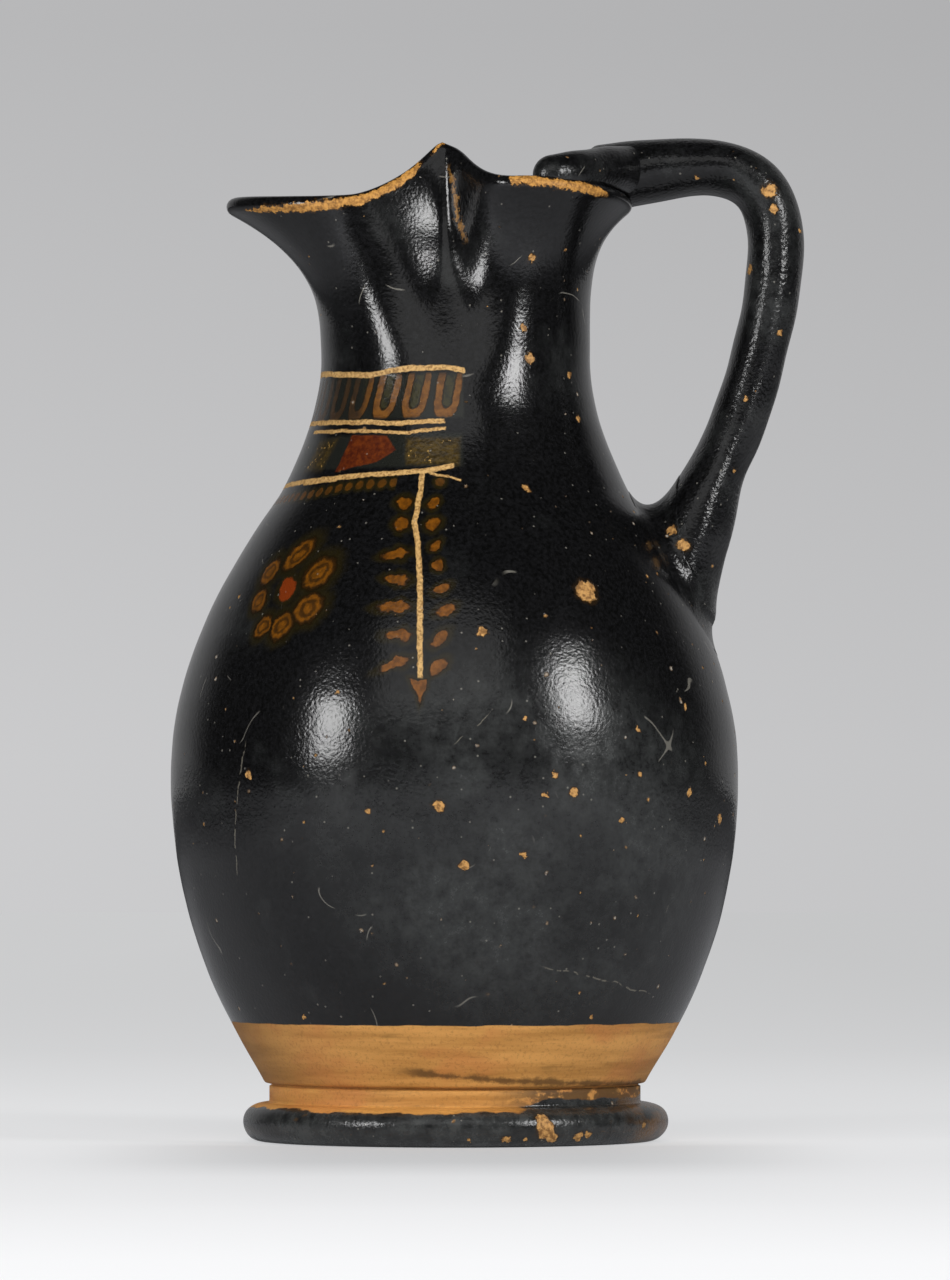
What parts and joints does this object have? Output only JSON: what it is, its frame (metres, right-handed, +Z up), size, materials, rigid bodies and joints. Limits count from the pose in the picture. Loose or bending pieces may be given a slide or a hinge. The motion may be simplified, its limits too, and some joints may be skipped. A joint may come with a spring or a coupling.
{
  "type": "oinochoe jug",
  "caption": "Black-gloss pottery wine jug with a trefoil mouth, a high strap handle, a ring foot and faded painted bands.",
  "frame": {"origin": "on the jug's axis, in the plane of the face that its foot rests on", "axes": "+Z up along the axis, the spout points to -X, the handle stands at +X"},
  "size_m": [0.1138, 0.1018, 0.1803],
  "materials": {
    "gloss": "black slip gloss, worn and mottled, with painted bands and a reserved band of bare orange clay",
    "foot_gloss": "black slip gloss, brownish on top and chipped to the clay",
    "handle_gloss": "black slip gloss with small chips",
    "clay": "bare fired orange clay, matt"
  },
  "bodies": {
    "root": {"body": "gloss", "foot": "foot_gloss", "foot_slip": "clay", "handle": "handle_gloss", "rim_arm_left": "handle_gloss", "rim_arm_right": "handle_gloss", "root_pad": "handle_gloss"}
  },
  "joints": []
}
